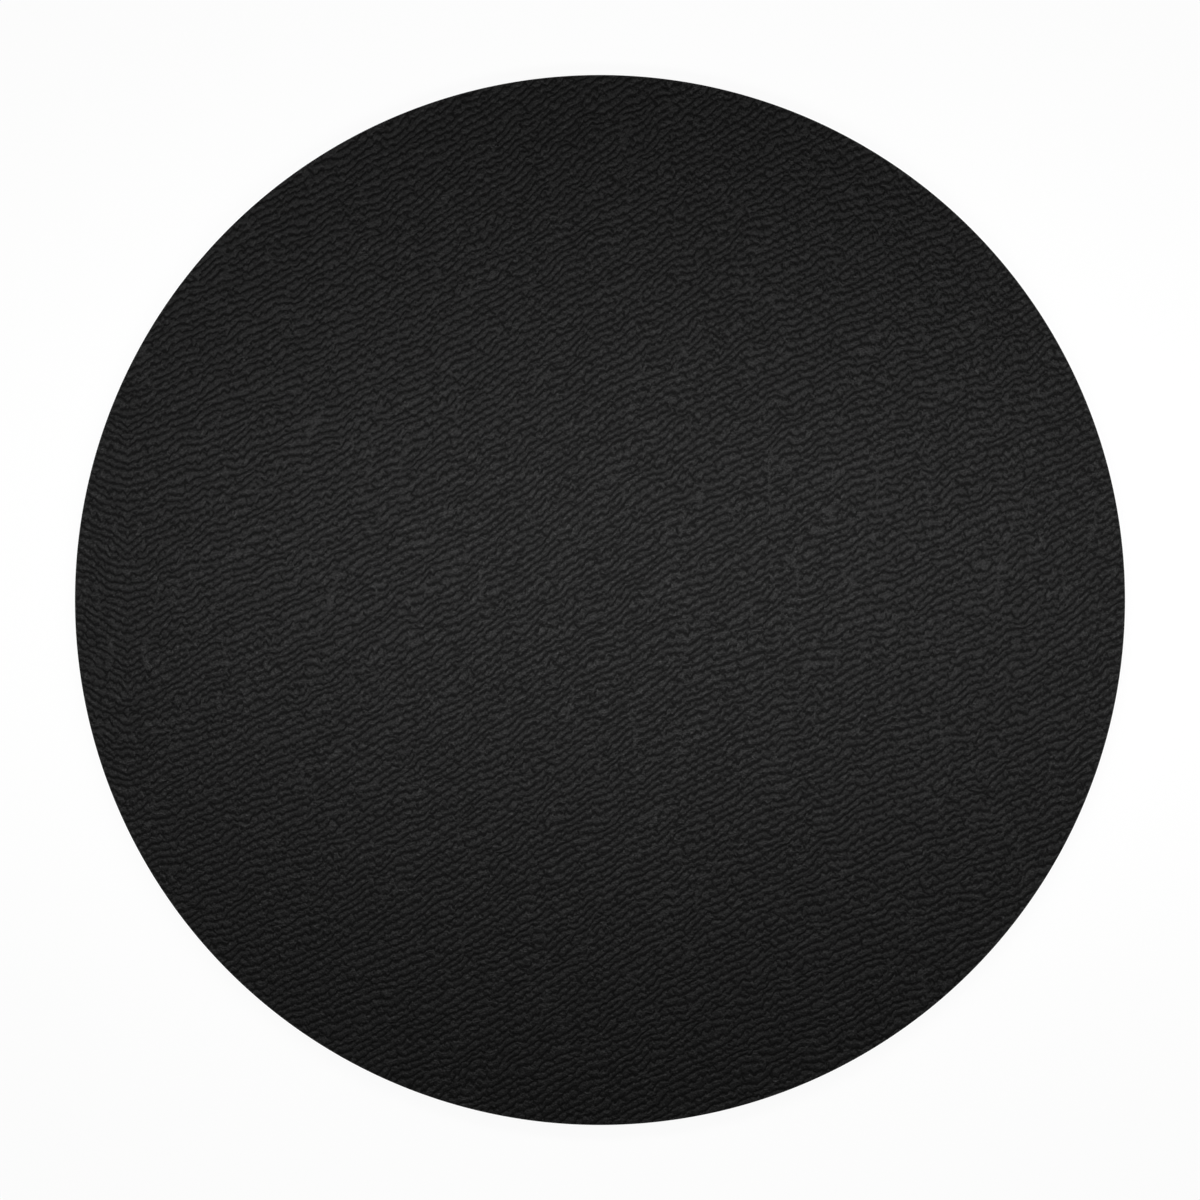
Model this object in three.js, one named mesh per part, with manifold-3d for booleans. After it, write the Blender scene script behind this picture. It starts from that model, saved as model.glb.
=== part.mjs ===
// A round desk mouse pad, made as a bonded laminate and punched out by one round die.
// From the desk up it is a moulded rubber sole, a sponge rubber core, the knitted carrier cloth
// of the cover, and the leather-grained polyurethane skin that the mouse glides on.
// Millimetres, +Z up. The origin is the middle of the face that lies on the desk.
import * as THREE from "three";
import { mergeVertices } from "three/addons/utils/BufferGeometryUtils.js";
import Module from "manifold-3d";

// Driving dimensions
const padDiameter = 200;

// Layers, from the desk up
const soleThickness = 0.8;
const coreThickness = 1.4;
const clothThickness = 0.4;
const skinThickness = 0.4;

// What the die leaves at the cut edge
const skinEdgeRoll = 0.3; // radius of the rim that the die rolls down
const coreEdgeDish = 0.2; // how far the springy core's cut edge bows inwards

// Zigzag tread in the underside of the sole. Its grooves run along X, side by side, and out at the
// rim, because the sole is punched from a sheet that is moulded all over. The middle of the sole is
// in the middle of a land between two grooves.
const treadPitch = 4.5; // from one groove to the next, across X
const treadStride = 6; // along X, from one corner of the zigzag to the next
const treadSwing = 2.4; // across X, from one corner to the next
const grooveWidth = 1.5; // at the mouth, across X
const grooveDepth = 0.3;

// How far a cutter reaches past the faces that it cuts
const cutOverrun = 0.1;

// Facet counts
const rimFacets = 120;
const arcFacets = 6;

// Worked out from the driving dimensions
const padRadius = padDiameter / 2;
const soleTop = soleThickness;
const coreTop = soleTop + coreThickness;
const clothTop = coreTop + clothThickness;
const skinTop = clothTop + skinThickness;

const wasm = await Module();
wasm.setup();

// One layer: a half outline of [radius, height] points, turned about Z. It runs from the axis
// under the layer, out and up the cut edge, and back to the axis on top.
function turnedLayer(outline) {
  const points = outline.map(([radius, height]) => new THREE.Vector2(radius, height));
  return new THREE.LatheGeometry(points, rimFacets).rotateX(Math.PI / 2);
}

// A layer whose edge the die leaves square.
function squareLayer(bottom, top) {
  return turnedLayer([
    [0, bottom],
    [padRadius, bottom],
    [padRadius, top],
    [0, top],
  ]);
}

// The sponge springs back from the die, so its edge is an arc that bows inwards between its corners.
function dishedLayer(bottom, top) {
  const halfHeight = (top - bottom) / 2;
  const arcRadius = (halfHeight ** 2 + coreEdgeDish ** 2) / (2 * coreEdgeDish);
  const halfAngle = Math.asin(halfHeight / arcRadius);
  const middle = bottom + halfHeight;
  const edge = [];
  for (let i = 0; i <= arcFacets; i++) {
    const angle = halfAngle * ((2 * i) / arcFacets - 1);
    const inwards = coreEdgeDish - arcRadius * (1 - Math.cos(angle));
    edge.push([padRadius - inwards, middle + arcRadius * Math.sin(angle)]);
  }
  return turnedLayer([[0, bottom], ...edge, [0, top]]);
}

// The die drags the skin's rim down over the cut, so its top edge is a quarter round.
function rolledLayer(bottom, top) {
  const edge = [[padRadius, bottom]];
  for (let i = 0; i <= arcFacets; i++) {
    const angle = ((Math.PI / 2) * i) / arcFacets;
    const back = skinEdgeRoll * (1 - Math.cos(angle));
    edge.push([padRadius - back, top - skinEdgeRoll + skinEdgeRoll * Math.sin(angle)]);
  }
  return turnedLayer([[0, bottom], ...edge, [0, top]]);
}

// A V cutter along one zigzag. Every section stands square to X, which is the mitre plane of each
// corner, so the groove keeps its width from stretch to stretch.
function grooveCutter(groovePlace) {
  const spread = 1 + cutOverrun / grooveDepth;
  const halfMouth = (grooveWidth / 2) * spread;
  const strides = Math.ceil((padRadius + cutOverrun) / treadStride);
  const vertices = [];
  const faces = [];
  for (let k = -strides; k <= strides; k++) {
    const x = k * treadStride;
    const y = groovePlace + (k % 2 ? treadSwing : 0);
    const first = vertices.length / 3;
    vertices.push(x, y - halfMouth, -cutOverrun);
    vertices.push(x, y + halfMouth, -cutOverrun);
    vertices.push(x, y, grooveDepth);
    if (k === -strides) {
      faces.push(first, first + 2, first + 1);
      continue;
    }
    for (let side = 0; side < 3; side++) {
      const here = first + side;
      const next = first + ((side + 1) % 3);
      faces.push(here - 3, next - 3, next, here - 3, next, here);
    }
  }
  const last = vertices.length / 3 - 3;
  faces.push(last, last + 1, last + 2);
  const cutter = new THREE.BufferGeometry();
  cutter.setAttribute("position", new THREE.Float32BufferAttribute(vertices, 3));
  cutter.setIndex(faces);
  return cutter;
}

// A closed geometry as a solid that can be cut.
function solidOf(geometry) {
  const bare = geometry.clone();
  bare.deleteAttribute("normal");
  bare.deleteAttribute("uv");
  const merged = mergeVertices(bare);
  return new wasm.Manifold(
    new wasm.Mesh({
      numProp: 3,
      vertProperties: merged.getAttribute("position").array,
      triVerts: new Uint32Array(merged.getIndex().array),
    }),
  );
}

function geometryOf(solid) {
  const { vertProperties, triVerts } = solid.getMesh();
  const geometry = new THREE.BufferGeometry();
  geometry.setAttribute("position", new THREE.BufferAttribute(vertProperties, 3));
  geometry.setIndex(new THREE.BufferAttribute(triVerts, 1));
  geometry.computeVertexNormals();
  return geometry;
}

// The sole: a square-edged layer with the tread cut into its underside.
function treadedSole() {
  let sole = solidOf(squareLayer(0, soleTop));
  const reach = Math.ceil((padRadius + treadSwing) / treadPitch);
  for (let i = -reach; i < reach; i++) {
    sole = sole.subtract(solidOf(grooveCutter((i + 1 / 2) * treadPitch)));
  }
  return geometryOf(sole);
}

function material(color, roughness) {
  return new THREE.MeshStandardMaterial({ color, roughness, metalness: 0 });
}

const soleRubber = material(0x1c1c1c, 0.9);
const spongeRubber = material(0x202020, 0.95);
const knittedCloth = material(0x303030, 1);
const grainedSkin = material(0x292929, 0.55);

const mousePad = new THREE.Group();
function addPiece(name, geometry, finish) {
  const piece = new THREE.Mesh(geometry, finish);
  piece.name = name;
  mousePad.add(piece);
}

addPiece("grip_sole", treadedSole(), soleRubber);
addPiece("sponge_core", dishedLayer(soleTop, coreTop), spongeRubber);
addPiece("carrier_cloth", squareLayer(coreTop, clothTop), knittedCloth);
addPiece("grained_skin", rolledLayer(clothTop, skinTop), grainedSkin);

export default mousePad;
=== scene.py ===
import math

import bpy
import numpy as np
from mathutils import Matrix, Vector


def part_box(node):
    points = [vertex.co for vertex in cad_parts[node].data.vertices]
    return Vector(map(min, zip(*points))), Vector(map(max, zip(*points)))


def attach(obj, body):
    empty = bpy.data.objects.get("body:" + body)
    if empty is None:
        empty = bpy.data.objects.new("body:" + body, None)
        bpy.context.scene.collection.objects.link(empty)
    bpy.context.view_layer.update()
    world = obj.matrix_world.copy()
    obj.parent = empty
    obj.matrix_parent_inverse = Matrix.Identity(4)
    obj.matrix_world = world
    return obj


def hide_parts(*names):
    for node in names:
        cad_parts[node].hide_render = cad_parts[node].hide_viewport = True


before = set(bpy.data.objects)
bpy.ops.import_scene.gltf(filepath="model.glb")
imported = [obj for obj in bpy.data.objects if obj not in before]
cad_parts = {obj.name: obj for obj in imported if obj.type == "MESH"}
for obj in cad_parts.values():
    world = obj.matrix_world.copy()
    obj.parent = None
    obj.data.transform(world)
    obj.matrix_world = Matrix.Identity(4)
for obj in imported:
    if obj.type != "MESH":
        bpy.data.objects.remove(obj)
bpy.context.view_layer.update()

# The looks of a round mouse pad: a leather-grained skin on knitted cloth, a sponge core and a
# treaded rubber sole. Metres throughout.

MM = 0.001
TINY = 1e-9  # keeps a division from meeting zero

# Places and radii from the frame
SKIN_LOW, SKIN_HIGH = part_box("grained_skin")
CLOTH_LOW, CLOTH_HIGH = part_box("carrier_cloth")
CORE_LOW, CORE_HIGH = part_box("sponge_core")
SOLE_LOW, SOLE_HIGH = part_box("grip_sole")
PAD_RADIUS = (SKIN_HIGH.x - SKIN_LOW.x) / 2
PAD_TOP = SKIN_HIGH.z

# The photograph's framing: a square picture, looked at from straight above
PICTURE_PIXELS = 1200
PAD_PIXELS = 1050.6
LENS = 100
SENSOR = 36


# Camera

def make_camera():
    """Straight above the pad, with +Y up in the picture, so that the pad is as wide as in the photo."""
    view_width = 2 * PAD_RADIUS * PICTURE_PIXELS / PAD_PIXELS
    height = view_width * LENS / SENSOR
    data = bpy.data.cameras.new("camera")
    data.lens = LENS
    data.sensor_width = SENSOR
    data.clip_start = 0.01
    data.clip_end = 20
    camera = bpy.data.objects.new("camera", data)
    camera.location = (0, 0, PAD_TOP + height)
    bpy.context.scene.collection.objects.link(camera)
    bpy.context.scene.camera = camera


# Mesh helpers

def smooth_field(x, y, wavelength, seed, waves=24):
    """A smooth random field with a mean of 0 and a spread of 1, made of plane waves that are about
    wavelength long."""
    shortest_share = 0.75
    longest_share = 1.4
    rng = np.random.default_rng(seed)
    turns = rng.uniform(0, 2 * math.pi, waves)
    pitches = wavelength * rng.uniform(shortest_share, longest_share, waves)
    phases = rng.uniform(0, 2 * math.pi, waves)
    field = np.zeros_like(x)
    for turn, pitch, phase in zip(turns, pitches, phases):
        travel = (x * math.cos(turn) + y * math.sin(turn)) / pitch
        field += np.cos(2 * math.pi * travel + phase)
    return field * math.sqrt(2 / waves)


def lattice_faces(rows, columns):
    """Triangles of a lattice of points that are numbered row by row. They face up when the columns run
    along +X and the rows along +Y."""
    names = np.arange(rows * columns).reshape(rows, columns)
    a = names[:-1, :-1].ravel()
    b = names[:-1, 1:].ravel()
    c = names[1:, 1:].ravel()
    d = names[1:, :-1].ravel()
    return np.concatenate([np.stack([a, b, d], 1), np.stack([b, c, d], 1)])


def drop_unused(points, values, faces):
    used = np.unique(faces)
    names = np.full(len(points), -1)
    names[used] = np.arange(len(used))
    return points[used], values[used], names[faces]


def turned_to(triangles, chosen):
    """The same triangles, each written from its chosen corner on."""
    rows = np.arange(len(triangles))
    return np.stack([triangles[rows, (chosen + k) % 3] for k in range(3)], 1)


def clip(points, values, faces, keep):
    """The part of a triangle mesh where keep is not negative. Triangles that cross zero are cut. values
    has a row of numbers for each point."""
    corners = keep[faces]
    some_in = (corners > 0).any(1)
    some_out = (corners < 0).any(1)
    whole = faces[some_in & ~some_out]
    cut = faces[some_in & some_out]
    outside = keep[cut] < 0
    one_out = cut[outside.sum(1) == 1]
    two_out = cut[outside.sum(1) == 2]
    one_out = turned_to(one_out, np.argmax(keep[one_out] < 0, axis=1))
    two_out = turned_to(two_out, np.argmax(keep[two_out] >= 0, axis=1))
    edges = [one_out[:, [0, 1]], one_out[:, [0, 2]], two_out[:, [0, 1]], two_out[:, [0, 2]]]
    edges = np.sort(np.concatenate(edges), axis=1)
    edges, where = np.unique(edges, axis=0, return_inverse=True)
    a = edges[:, 0]
    b = edges[:, 1]
    share = (keep[a] / (keep[a] - keep[b]))[:, None]
    new_points = points[a] * (1 - share) + points[b] * share
    new_values = values[a] * (1 - share) + values[b] * share
    names = len(points) + np.arange(len(edges))
    names = np.where(keep[a] == 0, a, names)
    names = np.where(keep[b] == 0, b, names)[where.ravel()]
    first = len(one_out)
    second = 2 * first
    third = second + len(two_out)
    near, far, left, right = np.split(names, [first, second, third])
    pieces = [
        whole,
        np.stack([near, one_out[:, 1], one_out[:, 2]], 1),
        np.stack([near, one_out[:, 2], far], 1),
        np.stack([two_out[:, 0], left, right], 1),
    ]
    faces = np.concatenate(pieces)
    a, b, c = faces.T
    faces = faces[(a != b) & (b != c) & (c != a)]
    return drop_unused(np.concatenate([points, new_points]), np.concatenate([values, new_values]), faces)


def clip_to_disc(points, values, faces, radius, snap):
    """Cuts a sheet to a disc. Points within snap of the circle are moved onto it first. The last value
    it returns names the points on the circle, anticlockwise."""
    distance = np.hypot(points[:, 0], points[:, 1])
    near = np.abs(distance - radius) < snap
    points = points.copy()
    points[near, :2] *= (radius / distance[near])[:, None]
    keep = radius - distance
    keep[near] = 0
    points, values, faces = clip(points, values, faces, keep)
    distance = np.hypot(points[:, 0], points[:, 1])
    rim = np.nonzero(distance > radius - snap / 10)[0]
    points[rim, :2] *= (radius / distance[rim])[:, None]
    rim = rim[np.argsort(np.arctan2(points[rim, 1], points[rim, 0]))]
    return points, values, faces, rim


class Shell:
    """A mesh in the making: points, triangles, and layers of values that the materials read. layers gives
    how many numbers each layer has for a point."""

    def __init__(self, layers):
        self.layers = layers
        self.points = []
        self.values = []
        self.faces = []
        self.count = 0

    def add_points(self, points, values):
        """values has a row for each point, or is one number for all."""
        first = self.count
        self.points.append(points)
        self.values.append(np.broadcast_to(values, (len(points), sum(self.layers.values()))))
        self.count += len(points)
        return np.arange(first, self.count)

    def add_ring(self, angle, radius, height, values):
        """Points round the Z axis, where radius and height are each one number or one for each point."""
        x = radius * np.cos(angle)
        y = radius * np.sin(angle)
        return self.add_points(np.stack([x, y, np.broadcast_to(height, angle.shape)], 1), values)

    def band(self, lower, upper):
        """Joins two rings of as many points, both anticlockwise, with faces that look outwards."""
        next_lower = np.roll(lower, -1)
        next_upper = np.roll(upper, -1)
        self.faces.append(np.stack([lower, next_lower, next_upper], 1))
        self.faces.append(np.stack([lower, next_upper, upper], 1))

    def close_flat(self, ring, angle, radius, height, face_up):
        """A flat face inside ring, made of rings that halve their points towards the middle."""
        order = 1 if face_up else -1
        fewest = 24
        ring_share = 0.85
        while len(ring) > fewest:
            outer_count = len(ring)
            inner_count = outer_count // 2
            radius *= ring_share
            inner_angle = angle[np.arange(inner_count) * outer_count // inner_count]
            inner = self.add_ring(inner_angle, radius, height, 0)
            here = np.arange(outer_count) * inner_count // outer_count
            after = np.arange(1, outer_count + 1) * inner_count // outer_count
            next_ring = np.roll(ring, -1)
            step = after != here
            outwards = np.stack([ring, next_ring, inner[here]], 1)
            inwards = np.stack([next_ring, inner[after % inner_count], inner[here]], 1)[step]
            self.faces.append(np.concatenate([outwards, inwards])[:, ::order])
            ring = inner
            angle = inner_angle
        middle = self.add_points(np.array([[0, 0, height]]), 0)
        fan = np.stack([ring, np.roll(ring, -1), np.full(len(ring), middle[0])], 1)
        self.faces.append(fan[:, ::order])

    def build(self, name, sharp_above, chart):
        """The mesh as a Blender piece, shaded smooth but for edges that turn by more than sharp_above
        degrees. chart lays its triangles out flat for texture baking."""
        points = np.concatenate(self.points)
        faces = np.concatenate(self.faces)
        mesh = bpy.data.meshes.new(name)
        mesh.vertices.add(len(points))
        mesh.vertices.foreach_set("co", points.astype(np.float32).ravel())
        mesh.loops.add(3 * len(faces))
        mesh.loops.foreach_set("vertex_index", faces.astype(np.int32).ravel())
        mesh.polygons.add(len(faces))
        mesh.polygons.foreach_set("loop_start", np.arange(0, 3 * len(faces), 3, dtype=np.int32))
        mesh.update(calc_edges=True)
        values = np.concatenate(self.values).astype(np.float32)
        first = 0
        for layer, width in self.layers.items():
            kind, field = ("FLOAT", "value") if width == 1 else ("FLOAT_VECTOR", "vector")
            attribute = mesh.attributes.new(layer, kind, "POINT")
            attribute.data.foreach_set(field, values[:, first : first + width].ravel())
            first += width
        bake_map = mesh.uv_layers.new(name="OFBake")
        bake_map.data.foreach_set("uv", chart(points[faces]).astype(np.float32).ravel())
        mesh.set_sharp_from_angle(angle=math.radians(sharp_above))
        piece = bpy.data.objects.new(name, mesh)
        bpy.context.scene.collection.objects.link(piece)
        return piece


# Texture layouts, on maps that run from 0 to 1

SMALL_DISC = 0.07  # radius on the map of a flat face that is hidden
DISC_LEVEL = 0.08  # how far up the map its middle lies
FIRST_DISC = 0.08  # how far along
SECOND_DISC = 0.25


def small_disc(corners, along):
    """Where a hidden flat face goes: a small disc at the bottom of the map."""
    return np.array([along, DISC_LEVEL]) + SMALL_DISC / PAD_RADIUS * corners[..., :2]


def all_at(corners, height):
    nearness = 0.001 * MM
    return (np.abs(corners[..., 2] - height) < nearness).all(1)


def face_chart(shown_height, hidden_height):
    """Lays out a piece of which one flat face shows. That face fills the map, with the side unrolled
    round it."""
    rim_width = 0.5 * MM
    face_radius = 0.49
    map_middle = 0.5

    def chart(corners):
        distance = np.hypot(corners[..., 0], corners[..., 1]) + TINY
        at_rim = distance > PAD_RADIUS - rim_width
        unrolled = distance + at_rim * np.abs(corners[..., 2] - shown_height)
        scale = face_radius / (PAD_RADIUS + SOLE_HIGH.z)
        places = map_middle + scale * corners[..., :2] * (unrolled / distance)[..., None]
        hidden = all_at(corners, hidden_height)
        places[hidden] = small_disc(corners[hidden], FIRST_DISC)
        return places

    return chart


def side_chart(low, high, rows):
    """Lays out a piece of which only the side shows. The side is cut into rows, with a gap under and
    over each."""
    left = 0.02
    width = 0.96
    bottom = 0.18
    height = 0.81
    gap_share = 0.15

    def chart(corners):
        centre = corners.mean(1)
        middle = np.arctan2(centre[:, 1], centre[:, 0])[:, None]
        angle = np.arctan2(corners[..., 1], corners[..., 0])
        angle = middle + (angle - middle + math.pi) % (2 * math.pi) - math.pi
        row = np.clip(np.floor((middle / math.pi + 1) / 2 * rows), 0, rows - 1)
        along = (angle / math.pi + 1) / 2 * rows - row
        up = (corners[..., 2] - low) / (high - low)
        level = row + gap_share + (1 - 2 * gap_share) * up
        places = np.stack([left + width * along, bottom + height * level / rows], 2)
        below = all_at(corners, low)
        above = all_at(corners, high)
        places[below] = small_disc(corners[below], FIRST_DISC)
        places[above] = small_disc(corners[above], SECOND_DISC)
        return places

    return chart


# The leather grain of the skin: long creases that flow up to the right, and short ones that cross them

CREASE_PITCH = 1.4 * MM  # from one crease to the next
CREASE_DROP = 0.14 * MM  # how far a pebble falls from its crown to the long creases round it
SHORT_DROP_SHARE = 0.5  # and to the short ones, as a share of that
LONG_FAN = math.radians(12)  # how much the long creases differ in direction
LONG_SPREAD = 0.09  # and in pitch
SHORT_TURN = math.radians(55)  # from the long creases to the short ones
SHORT_FAN = math.radians(22)
SHORT_SPREAD = 0.25
DRIFT = 0.22 * MM  # how far the creases wander
DRIFT_PERIOD = 7 * MM
JOG = 0.15 * MM  # and how far they step aside between one pebble and the next
JOG_PERIOD = 1.45 * MM
JOG_REACH_SHARE = 0.4  # neighbouring creases step aside alike, the more so the smaller this is
FADING_SHARE = 0.14  # how much of their depth the long creases lose here and there
FADING_PERIOD = 1.7 * MM
SWELL = 0.006 * MM  # half of how far the pebbles' crowns differ in height
SWELL_PERIOD = 2.5 * MM
FLOW_TILT = math.radians(28.5)
FLOW_SWING = 0.1  # how much the slope of the flow changes from place to place
FLOW_PERIOD = 120 * MM
FLOW_CREST = -8 * MM  # the creases are steepest here
FLOW_FAN = 0.05  # how much further apart the creases lie at the right rim than in the middle
MIRROR_X = -90 * MM  # the embossing roller repeats as a mirror image here
COLUMN_STEP = 0.42 * MM  # along X
ROW_STEP = 0.3 * MM  # across the flow


def flow_place(along, across):
    """Where a point of the grain's lattice lies on the pad, before the small irregularities."""
    x = along
    level = across / math.cos(FLOW_TILT)
    turn = 2 * math.pi * (x - FLOW_CREST) / FLOW_PERIOD
    rise = math.tan(FLOW_TILT) * x + FLOW_SWING * FLOW_PERIOD / (2 * math.pi) * np.sin(turn)
    return x, level + rise + FLOW_FAN * x * level / PAD_RADIUS


def crease_waves(rows, columns, spread, turn, fan, seed):
    """Noise on the lattice, filtered to waves of the crease pitch, give or take spread, that cross the
    flow at turn, give or take fan. They are complex numbers, whose angle is pi in a crease."""
    evening = 0.9  # how far the strong waves are levelled with the weak ones, from 0 to 1
    rng = np.random.default_rng(seed)
    noise = rng.standard_normal((rows, columns)) + 1j * rng.standard_normal((rows, columns))
    across = np.fft.fftfreq(rows, ROW_STEP)[:, None]
    along = np.fft.fftfreq(columns, COLUMN_STEP / math.cos(FLOW_TILT))[None, :]
    frequency = np.hypot(along, across) + TINY
    heading = np.arctan2(along, across)
    gate = np.exp(-0.5 * (np.log(frequency * CREASE_PITCH) / spread) ** 2)
    gate = gate * np.exp(-0.5 * ((heading - turn) / fan) ** 2)
    wave = np.fft.ifft2(np.fft.fft2(noise) * gate)
    return np.fft.ifft2(np.fft.fft2(wave / np.abs(wave) ** evening) * gate)


def turn_between(wave, axis):
    """How far the wave's angle turns from each point of the lattice to the next one along this axis."""
    return np.abs(np.angle(np.roll(wave, -1, axis) * np.conj(wave)))


def wave_values(wave, strength):
    """A wave as rows of four values: the cosine and the sine of its angle, the depth of its creases from
    0 to 1, and its pace, which is 1 where it goes round once in a crease pitch."""
    fullness = 4  # a crease is full where its wave is over a quarter of the mean
    slowest = 0.2
    fastest = 1.3
    size = np.abs(wave)
    even = wave / size
    pace_across = turn_between(wave, 0) / ROW_STEP
    pace_along = turn_between(wave, 1) / (COLUMN_STEP / math.cos(FLOW_TILT))
    pace = np.hypot(pace_across, pace_along) * CREASE_PITCH / (2 * math.pi)
    depth = strength * np.clip(fullness * size / size.mean(), 0, 1)
    layers = [even.real, even.imag, depth, np.clip(pace, slowest, fastest)]
    return np.stack([layer.ravel() for layer in layers], 1)


def valley(values):
    """1 in the bottom of a full crease, and 0 midway between two."""
    return (1 - values[:, 0]) / 2 * values[:, 2]


def short_strength(x, y):
    """How deep the short creases are: deeper here and there, and more so towards the right."""
    weakest = 0.45
    strongest = 0.9
    rightwards_share = 0.3
    patch_share = 0.6
    patch_period = 3 * MM
    rightwards = np.clip(0.5 + x / PAD_RADIUS, 0, 1)
    patches = smooth_field(x, y, patch_period, seed=21, waves=40)
    present = np.clip(rightwards_share * rightwards + patch_share * patches, 0, 1)
    return weakest + (strongest - weakest) * present


def grain_sheet():
    """The grained face as points, values and triangles, wider than the pad."""
    margin = 2  # columns past the mirror line and past the rim
    slant_share = 1.45  # the slanted lattice reaches this many pad radii either way across the flow
    patch_contrast = 0.6  # how sharply the faded places stand out
    columns = math.ceil((PAD_RADIUS + margin * COLUMN_STEP - MIRROR_X) / COLUMN_STEP) + margin + 1
    rows = math.ceil(2 * slant_share * PAD_RADIUS / ROW_STEP)
    along = MIRROR_X + (np.arange(columns) - margin) * COLUMN_STEP
    across = (np.arange(rows) - rows / 2) * ROW_STEP
    along, across = np.meshgrid(along, across)
    x, y = flow_place(along, across)
    y = y + DRIFT * smooth_field(x, y, DRIFT_PERIOD, seed=5)

    wave = crease_waves(rows, columns, LONG_SPREAD, 0, LONG_FAN, seed=3)
    run = x / math.cos(FLOW_TILT)
    jog = JOG * smooth_field(run, JOG_REACH_SHARE * across, JOG_PERIOD, seed=8, waves=60)
    wave = wave * np.exp(2j * math.pi * jog / CREASE_PITCH)
    faded = smooth_field(x, y, FADING_PERIOD, seed=12, waves=40)
    faded = np.clip(0.5 + patch_contrast * faded, 0, 1)
    long_values = wave_values(wave, 1 - FADING_SHARE * faded)

    wave = crease_waves(rows, columns, SHORT_SPREAD, SHORT_TURN, SHORT_FAN, seed=4)
    short_values = wave_values(wave, short_strength(x, y))

    swell = SWELL * (1 + np.tanh(smooth_field(x, y, SWELL_PERIOD, seed=14)))
    drop = CREASE_DROP * (valley(long_values) + SHORT_DROP_SHARE * valley(short_values))
    points = np.stack([x.ravel(), y.ravel(), PAD_TOP - drop - swell.ravel()], 1)
    faces = lattice_faces(rows, columns)
    spare = 1 * MM  # triangles that lie further than this past the rim are left out
    inside = np.hypot(points[:, 0], points[:, 1]) < PAD_RADIUS + spare
    faces = faces[inside[faces].any(1)]
    return drop_unused(points, np.concatenate([long_values, short_values], 1), faces)


def mirrored(points, values, faces):
    """Cuts the sheet at the mirror line and adds its mirror image left of it."""
    snap = COLUMN_STEP / 8
    nearness = COLUMN_STEP / 1000
    near = np.abs(points[:, 0] - MIRROR_X) < snap
    points = points.copy()
    points[near, 0] = MIRROR_X
    points, values, faces = clip(points, values, faces, points[:, 0] - MIRROR_X)
    seam = np.abs(points[:, 0] - MIRROR_X) < nearness
    twin = points.copy()
    twin[:, 0] = 2 * MIRROR_X - twin[:, 0]
    names = np.where(seam, np.arange(len(points)), len(points) + np.arange(len(points)))
    points = np.concatenate([points, twin])
    values = np.concatenate([values, values])
    faces = np.concatenate([faces, names[faces][:, ::-1]])
    return drop_unused(points, values, faces)


def make_skin():
    """The grained skin: its rim is rolled down by the die, and the grain fades out over the roll."""
    edge_roll = 0.3 * MM
    roll_rings = 5
    snap = 0.08 * MM
    sharp_above = 60
    flat_radius = PAD_RADIUS - edge_roll
    sheet = mirrored(*grain_sheet())
    points, values, faces, rim = clip_to_disc(*sheet, flat_radius, snap)
    shell = Shell({"long_wave": 3, "long_pace": 1, "short_wave": 3, "short_pace": 1})
    shell.add_points(points, values)
    shell.faces.append(faces)
    angle = np.arctan2(points[rim, 1], points[rim, 0])
    dip = points[rim, 2] - PAD_TOP
    upper = rim
    for k in range(1, roll_rings + 1):
        turn = math.pi / 2 * k / roll_rings
        radius = flat_radius + edge_roll * math.sin(turn)
        height = PAD_TOP - edge_roll * (1 - math.cos(turn)) + dip * math.cos(turn)
        lower = shell.add_ring(angle, radius, height, values[rim] * math.cos(turn))
        shell.band(lower, upper)
        upper = lower
    lower = shell.add_ring(angle, PAD_RADIUS, SKIN_LOW.z, 0)
    shell.band(lower, upper)
    shell.close_flat(lower, angle, PAD_RADIUS, SKIN_LOW.z, face_up=False)
    return shell.build("leather_skin", sharp_above, face_chart(PAD_TOP, SKIN_LOW.z))


# The cloth and the core, of which only the cut edge shows

def edged_disc(name, low, high, columns, levels, rows, edge):
    """A disc between two heights. edge gives how far its side stands in and its shade, for the angles
    round it and the share of its height. rows is for its texture layout."""
    sharp_above = 60
    angle = 2 * math.pi * np.arange(columns) / columns
    shell = Shell({"shade": 1})
    below = None
    for k in range(levels + 1):
        share = k / levels
        inset, shade = edge(angle, share)
        ring = shell.add_ring(angle, PAD_RADIUS - inset, low + (high - low) * share, shade[:, None])
        if below is None:
            shell.close_flat(ring, angle, PAD_RADIUS, low, face_up=False)
        else:
            shell.band(below, ring)
        below = ring
    shell.close_flat(below, angle, PAD_RADIUS, high, face_up=True)
    return shell.build(name, sharp_above, side_chart(low, high, rows))


def knit_edge(angle, share):
    """Two rows of cut yarn ends, one in the gaps of the other."""
    yarn_pitch = 0.55 * MM
    gap_depth = 0.09 * MM
    fray_depth = 0.012 * MM
    fray_period = 3 * MM
    yarns = round(2 * math.pi * PAD_RADIUS / yarn_pitch)
    row = 0 if share < 0.5 else 1
    across = np.abs(np.cos(yarns / 2 * angle + row * math.pi / 2))
    up = math.sin(math.pi * (2 * share % 1)) if share < 1 else 0
    end = across * up
    level = np.full_like(angle, share * MM)
    fray = smooth_field(PAD_RADIUS * angle, level, fray_period, seed=31)
    return gap_depth * (1 - end) + fray_depth * (1 + np.tanh(fray)), 1 - end


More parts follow.
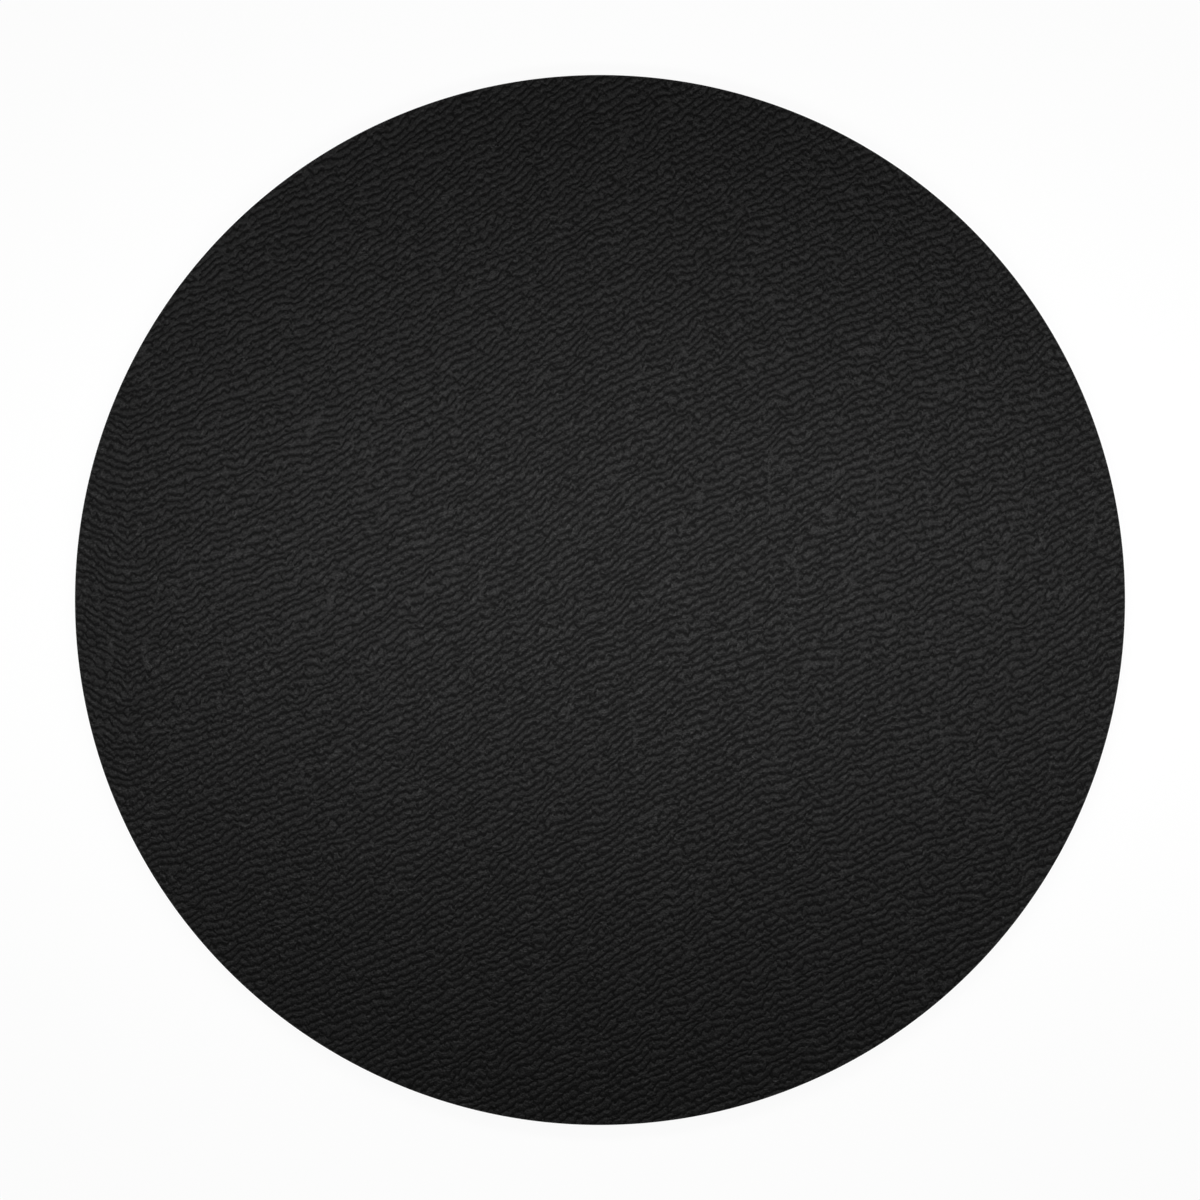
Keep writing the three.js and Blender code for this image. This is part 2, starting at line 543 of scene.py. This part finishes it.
def sponge_edge(angle, share):
    """The springy edge bows inwards and is pitted with cut-open pores."""
    dish = 0.2 * MM
    coarse_pore = 0.75 * MM
    fine_pore = 0.4 * MM
    pore_depth = 0.14 * MM
    coarse_limit = 0.7  # a pore opens where its field is over this
    fine_limit = 0.9
    fine_share = 0.7
    height = CORE_HIGH.z - CORE_LOW.z
    around = PAD_RADIUS * angle
    up = np.full_like(angle, share * height)
    bow = dish * (1 - (2 * share - 1) ** 2)
    coarse = smooth_field(around, up, coarse_pore, seed=41, waves=60)
    fine = smooth_field(around, up, fine_pore, seed=42, waves=60)
    coarse = np.clip(coarse - coarse_limit, 0, 1)
    fine = np.clip(fine - fine_limit, 0, 1)
    pore = np.clip(coarse + fine_share * fine, 0, 1) * math.sin(math.pi * share)
    return bow + pore_depth * pore, pore


def make_cloth():
    low = CLOTH_LOW.z
    high = CLOTH_HIGH.z
    return edged_disc("knit_carrier", low, high, columns=4800, levels=8, rows=30, edge=knit_edge)


def make_core():
    low = CORE_LOW.z
    high = CORE_HIGH.z
    return edged_disc("sponge_sheet", low, high, columns=3600, levels=10, rows=16, edge=sponge_edge)


# The sole, with the same zigzag tread as its solid

TREAD_PITCH = 4.5 * MM
TREAD_STRIDE = 6 * MM
TREAD_SWING = 2.4 * MM
GROOVE_WIDTH = 1.5 * MM
GROOVE_DEPTH = 0.3 * MM
CORNER_EASE = 0.5 * MM  # the moulded zigzag's corners are eased over this much of its run
LIP_EASE = 0.12 * MM  # and the lips of its grooves over this much


def zigzag(x):
    """How far the tread swings sideways at x, with eased corners."""
    share = (x / TREAD_STRIDE) % 2
    sharp = np.minimum(share, 2 - share)
    ease = CORNER_EASE / TREAD_STRIDE
    bottom = np.clip(1 - sharp / ease, 0, 1) ** 2 * ease / 4
    top = np.clip(1 - (1 - sharp) / ease, 0, 1) ** 2 * ease / 4
    return TREAD_SWING * (sharp + bottom - top)


def groove_profile():
    """Places across one pitch of the tread, from the middle of a land to the next, with heights."""
    half = GROOVE_WIDTH / 2
    fall = LIP_EASE * GROOVE_DEPTH / half
    across = [-half - LIP_EASE, -half, -half + LIP_EASE, -half / 2, -LIP_EASE / 2]
    height = [0, fall / 4, fall, GROOVE_DEPTH / 2, GROOVE_DEPTH - fall / 2]
    across = across + [0] + [-place for place in reversed(across)]
    height = height + [GROOVE_DEPTH - fall / 4] + list(reversed(height))
    middle = -TREAD_PITCH / 2
    return np.array([middle] + across), np.array([0] + height)


def make_sole():
    """The sole: the tread runs out at the rim, as on the sheet that the disc was punched from."""
    side_levels = 4
    wear_depth = 0.012 * MM
    wear_period = 1.2 * MM
    snap = 0.03 * MM
    sharp_above = 35
    across, height = groove_profile()
    reach = math.ceil((PAD_RADIUS + TREAD_SWING) / TREAD_PITCH) + 1
    middles = (np.arange(-reach, reach) + 1 / 2) * TREAD_PITCH
    level = (middles[:, None] + across[None, :]).ravel()
    height = np.tile(height, len(middles))
    strides = math.ceil(PAD_RADIUS / TREAD_STRIDE) + 1
    stops = np.array([0, CORNER_EASE / 2, CORNER_EASE, TREAD_STRIDE / 2])
    stops = np.concatenate([stops, TREAD_STRIDE - stops[2:0:-1]])
    x = (np.arange(-strides, strides)[:, None] * TREAD_STRIDE + stops[None, :]).ravel()
    x, level = np.meshgrid(x, level)
    y = level + zigzag(x)
    z = np.broadcast_to(height[:, None], x.shape)
    points = np.stack([x.ravel(), y.ravel(), z.ravel()], 1)
    sheet = points, z.reshape(-1, 1) / GROOVE_DEPTH, lattice_faces(*x.shape)
    points, shades, faces, rim = clip_to_disc(*sheet, PAD_RADIUS, snap)
    shell = Shell({"shade": 1})
    shell.add_points(points, shades)
    shell.faces.append(faces[:, ::-1])
    angle = np.arctan2(points[rim, 1], points[rim, 0])
    lower = rim
    for k in range(1, side_levels + 1):
        share = k / side_levels
        height = points[rim, 2] * (1 - share) + SOLE_HIGH.z * share
        wear = smooth_field(PAD_RADIUS * angle, height, wear_period, seed=51)
        wear = wear_depth * (1 + np.tanh(wear)) * math.sin(math.pi * share)
        upper = shell.add_ring(angle, PAD_RADIUS - wear, height, 0)
        shell.band(lower, upper)
        lower = upper
    shell.close_flat(lower, angle, PAD_RADIUS, SOLE_HIGH.z, face_up=True)
    return shell.build("treaded_sole", sharp_above, face_chart(SOLE_LOW.z, SOLE_HIGH.z))


# Materials

NOISE_LOW = 0.3  # most values of a noise texture lie between these
NOISE_HIGH = 0.7


def plain_material(name, colour, roughness, specular):
    material = bpy.data.materials.new(name)
    material.use_nodes = True
    shader = material.node_tree.nodes["Principled BSDF"]
    shader.inputs["Base Color"].default_value = (*colour, 1)
    shader.inputs["Roughness"].default_value = roughness
    shader.inputs["Specular IOR Level"].default_value = specular
    return material, material.node_tree, shader


def layer_of(tree, name):
    node = tree.nodes.new("ShaderNodeAttribute")
    node.attribute_name = name
    return node


def shade_value(tree):
    return layer_of(tree, "shade").outputs["Fac"]


def wave_valley(tree, wave, pace, kinks):
    """1 in the bottom of the full creases of a wave, and 0 from half a crease pitch away on. wave and pace
    name its layers, and kinks is added to its angle."""
    parts = tree.nodes.new("ShaderNodeSeparateXYZ")
    tree.links.new(layer_of(tree, wave).outputs["Vector"], parts.inputs["Vector"])
    angle = combined(tree, "ARCTAN2", parts.outputs["Y"], parts.outputs["X"])
    angle = combined(tree, "ADD", angle, kinks)
    left_over = mapped(tree, combined(tree, "ABSOLUTE", angle), 1, 0, 0, math.pi)
    left_over.node.clamp = False
    left_over = combined(tree, "ABSOLUTE", left_over)
    away = combined(tree, "DIVIDE", left_over, layer_of(tree, pace).outputs["Fac"])
    near = mapped(tree, away, 1, 0)
    near.node.interpolation_type = "SMOOTHSTEP"
    return combined(tree, "MULTIPLY", near, parts.outputs["Z"])


def noise_value(tree, grain_size, detail, stretch=1):
    """Noise with lumps about grain_size across, in metres, and stretch times as long along the flow
    of the leather grain."""
    place = tree.nodes.new("ShaderNodeTexCoord")
    turned = tree.nodes.new("ShaderNodeMapping")
    turned.vector_type = "TEXTURE"
    turned.inputs["Rotation"].default_value = (0, 0, FLOW_TILT)
    turned.inputs["Scale"].default_value = (stretch, 1, 1)
    tree.links.new(place.outputs["Object"], turned.inputs["Vector"])
    noise = tree.nodes.new("ShaderNodeTexNoise")
    noise.inputs["Scale"].default_value = 1 / grain_size
    noise.inputs["Detail"].default_value = detail
    tree.links.new(turned.outputs["Vector"], noise.inputs["Vector"])
    return noise.outputs["Fac"]


def mapped(tree, value, low, high, from_low=0, from_high=1):
    """Goes from low to high as value goes from from_low to from_high, and stays level outside that."""
    node = tree.nodes.new("ShaderNodeMapRange")
    node.inputs["From Min"].default_value = from_low
    node.inputs["From Max"].default_value = from_high
    node.inputs["To Min"].default_value = low
    node.inputs["To Max"].default_value = high
    tree.links.new(value, node.inputs["Value"])
    return node.outputs["Result"]


def combined(tree, operation, *values):
    node = tree.nodes.new("ShaderNodeMath")
    node.operation = operation
    for value, socket in zip(values, node.inputs):
        tree.links.new(value, socket)
    return node.outputs["Value"]


def link_colour(tree, shader, value, dark, pale):
    node = tree.nodes.new("ShaderNodeMix")
    node.data_type = "RGBA"
    node.inputs["A"].default_value = (*dark, 1)
    node.inputs["B"].default_value = (*pale, 1)
    tree.links.new(value, node.inputs["Factor"])
    tree.links.new(node.outputs["Result"], shader.inputs["Base Color"])


def link_bump(tree, shader, value, height):
    """Bump as high as height, in metres, where value goes from 0 to 1."""
    node = tree.nodes.new("ShaderNodeBump")
    node.inputs["Strength"].default_value = 1
    node.inputs["Distance"].default_value = height
    tree.links.new(value, node.inputs["Height"])
    tree.links.new(node.outputs["Normal"], shader.inputs["Normal"])


def grey(level):
    return (level, level, level)


def skin_material():
    """Polyurethane skin: a soft sheen on the pebbles, dull in the creases, with painted shade that darkens
    their colour there. Noise kinks the creases, makes their edges ragged and raises fine beads on the
    pebbles."""
    kink_size = 0.7 * MM
    kink_turn = 0.5  # in radians of the creases' waves, either way
    kink_low = 0.2  # the values of its noise that turn them so far
    kink_high = 0.8
    rag_size = 0.35 * MM
    rag_depth = 0.08  # a share of a crease's depth, as are the next three
    dark_from = 0.62
    dark_to = 0.88
    relief_from = 0.3
    bead_size = 0.38 * MM
    bead_stretch = 1.2
    # The creases' polish also sets their painted shade: there the colour darkens almost to black.
    crease_polish_and_shade = 0.03  # where a pebble's top has 1
    between_bead_level = 0.35  # between the beads
    smoothest = 0.48  # the roughness at full polish
    relief_height = 0.17 * MM
    pebble_share = 1.3  # of that height
    bead_share = 0.65
    material, tree, shader = plain_material(
        "leather_grain", grey(0.008), roughness=0.5, specular=0.25
    )
    kinks = noise_value(tree, kink_size, 1)
    kinks = mapped(tree, kinks, -kink_turn, kink_turn, kink_low, kink_high)
    long_valley = wave_valley(tree, "long_wave", "long_pace", kinks)
    short_valley = wave_valley(tree, "short_wave", "short_pace", kinks)
    valley = combined(tree, "MAXIMUM", long_valley, short_valley)
    rag = noise_value(tree, rag_size, 0)
    rag = mapped(tree, rag, -rag_depth, rag_depth, NOISE_LOW, NOISE_HIGH)
    valley = combined(tree, "ADD", valley, rag)
    open_face = mapped(tree, valley, 1, crease_polish_and_shade, dark_from, dark_to)
    beads = noise_value(tree, bead_size, 1, bead_stretch)
    beads = mapped(tree, beads, 0, 1, NOISE_LOW, NOISE_HIGH)
    polish_and_crease_shade = combined(tree, "MULTIPLY", open_face, mapped(tree, beads, between_bead_level, 1))
    # Painted shade: the colour darkens into the creases. It is also a little darker between the beads.
    link_colour(tree, shader, polish_and_crease_shade, dark=grey(0.0005), pale=grey(0.0075))
    tree.links.new(mapped(tree, polish_and_crease_shade, 1, smoothest), shader.inputs["Roughness"])
    pebbles = mapped(tree, valley, pebble_share, 0, relief_from, 1)
    relief = combined(tree, "ADD", pebbles, mapped(tree, beads, 0, bead_share))
    link_bump(tree, shader, relief, relief_height)
    return material


def cloth_material():
    """Knitted polyester, cut: pale yarn ends, with painted shade in the gaps between them."""
    fibre_size = 0.08 * MM
    fibre_height = 0.01 * MM
    material, tree, shader = plain_material(
        "knitted_cloth", grey(0.036), roughness=0.95, specular=0.2
    )
    shader.inputs["Sheen Weight"].default_value = 0.3
    ends = mapped(tree, shade_value(tree), 1, 0)
    # Painted shade: the gaps between the yarn ends are coloured dark.
    link_colour(tree, shader, ends, dark=grey(0.02), pale=grey(0.13))
    link_bump(tree, shader, noise_value(tree, fibre_size, 2), fibre_height)
    return material


def core_material():
    """Cut sponge rubber, with painted shade that darkens the inside of its pores."""
    lump_size = 0.12 * MM
    lump_height = 0.02 * MM
    material, tree, shader = plain_material(
        "sponge_rubber", grey(0.018), roughness=0.95, specular=0.25
    )
    closed = mapped(tree, shade_value(tree), 1, 0)
    # Painted shade: the pores are coloured darker than the closed rubber.
    link_colour(tree, shader, closed, dark=grey(0.01), pale=grey(0.036))
    link_bump(tree, shader, noise_value(tree, lump_size, 3), lump_height)
    return material


def sole_material():
    """Moulded rubber with the finish of a sandblasted mould, a little smoother where the lands rub."""
    mottle_size = 6 * MM
    blast_size = 0.25 * MM
    blast_height = 0.02 * MM
    land_roughness = 0.72
    groove_roughness = 0.9
    material, tree, shader = plain_material(
        "sole_rubber", grey(0.016), roughness=0.85, specular=0.35
    )
    mottle = mapped(tree, noise_value(tree, mottle_size, 4), 0, 1, NOISE_LOW, NOISE_HIGH)
    link_colour(tree, shader, mottle, dark=grey(0.015), pale=grey(0.022))
    roughness = mapped(tree, shade_value(tree), land_roughness, groove_roughness)
    tree.links.new(roughness, shader.inputs["Roughness"])
    link_bump(tree, shader, noise_value(tree, blast_size, 3), blast_height)
    return material


# Floor, background and light

def make_floor():
    """A pale floor that looks white, keeps a faint shadow near the pad, and is clear from below."""
    reach = 1.5
    drop = 0.05 * MM  # the floor lies this far under the pad
    glow_near = 0.95  # how much of its white glows by itself near the pad, the rest being lit
    glow_far = 1
    near_radius = 2 * PAD_RADIUS
    far_radius = 6 * PAD_RADIUS
    corners = [(-reach, -reach, 0), (reach, -reach, 0), (reach, reach, 0), (-reach, reach, 0)]
    mesh = bpy.data.meshes.new("floor")
    mesh.from_pydata(corners, [], [(0, 1, 2, 3)])
    floor = bpy.data.objects.new("floor", mesh)
    floor.location.z = -drop
    bpy.context.scene.collection.objects.link(floor)
    material, tree, shader = plain_material("floor", grey(0.95), roughness=1, specular=0)
    nodes = tree.nodes
    glow = nodes.new("ShaderNodeEmission")
    ray = nodes.new("ShaderNodeLightPath")
    seen = seen_directly(tree, ray)
    place = nodes.new("ShaderNodeTexCoord")
    distance = nodes.new("ShaderNodeVectorMath")
    distance.operation = "LENGTH"
    tree.links.new(place.outputs["Object"], distance.inputs[0])
    away = distance.outputs["Value"]
    glow_share = mapped(tree, away, glow_near, glow_far, near_radius, far_radius)
    share = combined(tree, "MULTIPLY", seen, glow_share)
    lit = nodes.new("ShaderNodeMixShader")
    tree.links.new(share, lit.inputs["Fac"])
    tree.links.new(shader.outputs["BSDF"], lit.inputs[1])
    tree.links.new(glow.outputs["Emission"], lit.inputs[2])
    side = nodes.new("ShaderNodeNewGeometry")
    clear = nodes.new("ShaderNodeBsdfTransparent")
    either = nodes.new("ShaderNodeMixShader")
    tree.links.new(side.outputs["Backfacing"], either.inputs["Fac"])
    tree.links.new(lit.outputs["Shader"], either.inputs[1])
    tree.links.new(clear.outputs["BSDF"], either.inputs[2])
    tree.links.new(either.outputs["Shader"], nodes["Material Output"].inputs["Surface"])
    floor.data.materials.append(material)


def seen_directly(tree, ray):
    """1 for rays from the camera and for those that show a background in gloss and glass."""
    seen = combined(tree, "MAXIMUM", ray.outputs["Is Camera Ray"], ray.outputs["Is Glossy Ray"])
    return combined(tree, "MAXIMUM", seen, ray.outputs["Is Transmission Ray"])


def make_world():
    """White all round for the camera, so that the pad has a white ground from below too. Gloss and
    glass see a pale band round the horizon, which fades into a dim studio overhead. All other light
    from the world is as dim as that."""
    dim = 0.02
    pale = 0.5
    band_top = 0.1  # heights as the sine of the angle above the horizon
    dim_from = 0.5
    world = bpy.data.worlds.new("world")
    bpy.context.scene.world = world
    world.use_nodes = True
    tree = world.node_tree
    background = tree.nodes["Background"]
    background.inputs["Color"].default_value = (1, 1, 1, 1)
    ray = tree.nodes.new("ShaderNodeLightPath")
    place = tree.nodes.new("ShaderNodeTexCoord")
    height = tree.nodes.new("ShaderNodeSeparateXYZ")
    tree.links.new(place.outputs["Generated"], height.inputs["Vector"])
    around = mapped(tree, height.outputs["Z"], pale, dim, band_top, dim_from)
    mirrored_share = combined(tree, "MULTIPLY", around, seen_directly(tree, ray))
    share = combined(tree, "MAXIMUM", mirrored_share, ray.outputs["Is Camera Ray"])
    strength = mapped(tree, share, dim, 1, dim, 1)
    tree.links.new(strength, background.inputs["Strength"])


def add_lamp(name, place, aim, width, depth, power):
    """A soft box at place that looks at aim. width and depth are in metres, and power in watts."""
    data = bpy.data.lights.new(name, "AREA")
    data.shape = "RECTANGLE"
    data.size = width
    data.size_y = depth
    data.energy = power
    lamp = bpy.data.objects.new(name, data)
    lamp.location = place
    outlook = Vector(aim) - Vector(place)
    lamp.rotation_euler = Vector((0, 0, -1)).rotation_difference(outlook).to_euler()
    lamp.visible_camera = False
    bpy.context.scene.collection.objects.link(lamp)


def make_lamps():
    """A strip close overhead makes the pale band across the face, low lamps light the cut edge, and one
    behind the pad rakes its creases."""
    strip = (0.015, 0.008, 0.095)
    under_strip = (strip[0], strip[1], 0)
    middle = (0, 0, 0)
    add_lamp("overhead", strip, under_strip, width=0.25, depth=0.04, power=0.25)
    add_lamp("left", (-0.9, 0, 0.2), middle, width=0.7, depth=0.3, power=0.6)
    add_lamp("right", (0.9, 0, 0.2), middle, width=0.7, depth=0.3, power=0.6)
    add_lamp("front", (0, -0.9, 0.15), middle, width=0.7, depth=0.2, power=0.6)
    add_lamp("back", (-0.4, 0.8, 1.1), middle, width=0.7, depth=0.7, power=4)


# The scene

bpy.context.scene.view_settings.view_transform = "Standard"
make_camera()
make_floor()
make_world()
make_lamps()

skin = make_skin()
cloth = make_cloth()
core = make_core()
sole = make_sole()
dressing = [
    (skin, skin_material(), "grained_skin", "skin"),
    (cloth, cloth_material(), "carrier_cloth", "cloth"),
    (core, core_material(), "sponge_core", "sponge"),
    (sole, sole_material(), "grip_sole", "sole"),
]
for piece, material, node, slot in dressing:
    piece.data.materials.append(material)
    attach(piece, "root")
    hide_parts(node)
